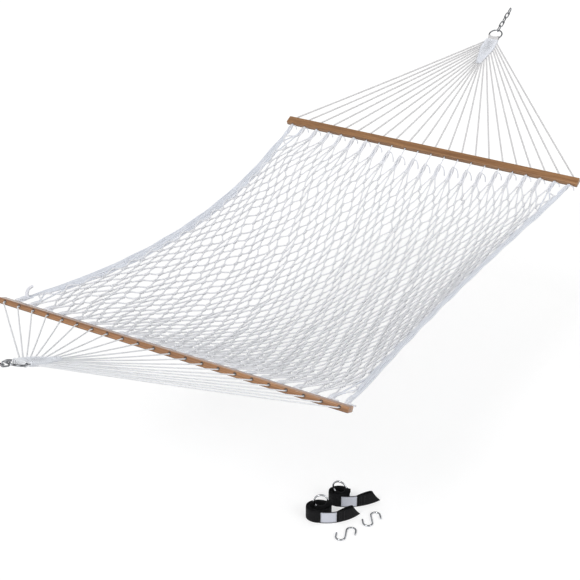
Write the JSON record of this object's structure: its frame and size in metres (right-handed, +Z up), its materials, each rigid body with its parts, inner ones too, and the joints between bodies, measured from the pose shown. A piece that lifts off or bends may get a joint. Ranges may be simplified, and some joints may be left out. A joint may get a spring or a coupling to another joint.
{
  "type": "rope hammock with spreader bars and tree straps",
  "caption": "Rope hammock with two wooden spreader bars, hung by rings and short chains, with two tree straps and S-hooks on the ground below.",
  "frame": {"origin": "on the ground below the middle of the bed, the centre of the whole set's plan", "axes": "+Z up, +Y along the hammock from its near end to its far end, +X across the bed"},
  "size_m": [1.4, 3.7658, 1.2096],
  "materials": {
    "wood": "oiled hardwood, satin",
    "rope": "soft white twisted rope",
    "woven_rope": "white rope, gathered or woven",
    "zinc_steel": "zinc-plated, lightly brushed",
    "polished_steel": "bright plated",
    "webbing": "black woven webbing",
    "label_cloth": "woven satin label, bare"
  },
  "bodies": {
    "anchors": {"near_anchor_link": "zinc_steel", "far_anchor_link": "zinc_steel"},
    "hammock": {"near_spreader_bar": "wood", "far_spreader_bar": "wood", "bed_net": "rope", "left_edge_rope": "woven_rope", "right_edge_rope": "woven_rope", "near_net_knots": "rope", "far_net_knots": "rope", "near_clew_cords": "rope", "far_clew_cords": "rope", "near_clew_head": "woven_rope", "far_clew_head": "woven_rope"},
    "near_ring_body": {"near_ring": "zinc_steel"},
    "near_link_1_body": {"near_chain_link_1": "zinc_steel"},
    "near_link_2_body": {"near_chain_link_2": "zinc_steel"},
    "near_link_3_body": {"near_chain_link_3": "zinc_steel"},
    "near_link_4_body": {"near_chain_link_4": "zinc_steel"},
    "far_ring_body": {"far_ring": "zinc_steel"},
    "far_link_1_body": {"far_chain_link_1": "zinc_steel"},
    "far_link_2_body": {"far_chain_link_2": "zinc_steel"},
    "far_link_3_body": {"far_chain_link_3": "zinc_steel"},
    "far_link_4_body": {"far_chain_link_4": "zinc_steel"},
    "strap_a_body": {"strap_a_webbing": "webbing", "strap_a_ring_loop": "webbing", "strap_a_label": "label_cloth"},
    "strap_a_ring_body": {"strap_a_ring": "polished_steel"},
    "strap_b_body": {"strap_b_webbing": "webbing", "strap_b_ring_loop": "webbing", "strap_b_label": "label_cloth"},
    "strap_b_ring_body": {"strap_b_ring": "polished_steel"},
    "s_hook_a_body": {"s_hook_a": "polished_steel"},
    "s_hook_b_body": {"s_hook_b": "polished_steel"}
  },
  "joints": [
    {"name": "hammock_swing", "type": "hinge", "parent": "anchors", "child": "hammock", "pos_m": [0, 0, 1.18735], "axis": [0, 1, 0], "range_deg": [-40, 40]},
    {"name": "far_ring_turn", "type": "hinge", "parent": "hammock", "child": "far_ring_body", "pos_m": [0, 1.7092, 1.1247], "axis": [0, -0.4163, 0.9092], "continuous": true},
    {"name": "far_link_1_twist", "type": "hinge", "parent": "hammock", "child": "far_link_1_body", "pos_m": [0, 1.74762, 1.14229], "axis": [0, 0.9092, 0.4163], "range_deg": [-7.8, 7.8]},
    {"name": "far_link_2_twist", "type": "hinge", "parent": "hammock", "child": "far_link_2_body", "pos_m": [0, 1.77649, 1.1555], "axis": [0, 0.9092, 0.4163], "range_deg": [-15, 15]},
    {"name": "far_link_3_twist", "type": "hinge", "parent": "hammock", "child": "far_link_3_body", "pos_m": [0, 1.80536, 1.16872], "axis": [0, 0.9092, 0.4163], "range_deg": [-22.3, 22.3]},
    {"name": "far_link_4_twist", "type": "hinge", "parent": "hammock", "child": "far_link_4_body", "pos_m": [0, 1.83422, 1.18194], "axis": [0, 0.9092, 0.4163], "range_deg": [-29.6, 29.6]},
    {"name": "near_ring_turn", "type": "hinge", "parent": "hammock", "child": "near_ring_body", "pos_m": [0, -1.7092, 1.1247], "axis": [0, 0.4163, 0.9092], "continuous": true},
    {"name": "near_link_1_twist", "type": "hinge", "parent": "hammock", "child": "near_link_1_body", "pos_m": [0, -1.74762, 1.14229], "axis": [0, 0.9092, -0.4163], "range_deg": [-7.8, 7.8]},
    {"name": "near_link_2_twist", "type": "hinge", "parent": "hammock", "child": "near_link_2_body", "pos_m": [0, -1.77649, 1.1555], "axis": [0, 0.9092, -0.4163], "range_deg": [-15, 15]},
    {"name": "near_link_3_twist", "type": "hinge", "parent": "hammock", "child": "near_link_3_body", "pos_m": [0, -1.80536, 1.16872], "axis": [0, 0.9092, -0.4163], "range_deg": [-22.3, 22.3]},
    {"name": "near_link_4_twist", "type": "hinge", "parent": "hammock", "child": "near_link_4_body", "pos_m": [0, -1.83422, 1.18194], "axis": [0, 0.9092, -0.4163], "range_deg": [-29.6, 29.6]},
    {"name": "strap_a_lift", "type": "slide", "parent": "anchors", "child": "strap_a_body", "axis": [0, 0, 1], "range_m": [0, 0.25]},
    {"name": "strap_a_ring_turn", "type": "hinge", "parent": "strap_a_body", "child": "strap_a_ring_body", "pos_m": [0.37442, -0.59283, 0.067], "axis": [-0.5, 0.866, 0], "continuous": true},
    {"name": "strap_b_lift", "type": "slide", "parent": "anchors", "child": "strap_b_body", "axis": [0, 0, 1], "range_m": [0, 0.25]},
    {"name": "strap_b_ring_turn", "type": "hinge", "parent": "strap_b_body", "child": "strap_b_ring_body", "pos_m": [0.39255, -0.48422, 0.066], "axis": [-0.1045, 0.9945, 0], "continuous": true},
    {"name": "s_hook_a_lift", "type": "slide", "parent": "anchors", "child": "s_hook_a_body", "axis": [0, 0, 1], "range_m": [0, 0.25]},
    {"name": "s_hook_b_lift", "type": "slide", "parent": "anchors", "child": "s_hook_b_body", "axis": [0, 0, 1], "range_m": [0, 0.25]}
  ],
  "couplings": [
    {"joint": "far_link_1_twist", "follows": "hammock_swing", "ratio": -0.18185},
    {"joint": "far_link_2_twist", "follows": "hammock_swing", "ratio": -0.36369},
    {"joint": "far_link_3_twist", "follows": "hammock_swing", "ratio": -0.54554},
    {"joint": "far_link_4_twist", "follows": "hammock_swing", "ratio": -0.72739},
    {"joint": "near_link_1_twist", "follows": "hammock_swing", "ratio": -0.18185},
    {"joint": "near_link_2_twist", "follows": "hammock_swing", "ratio": -0.36369},
    {"joint": "near_link_3_twist", "follows": "hammock_swing", "ratio": -0.54554},
    {"joint": "near_link_4_twist", "follows": "hammock_swing", "ratio": -0.72739}
  ]
}
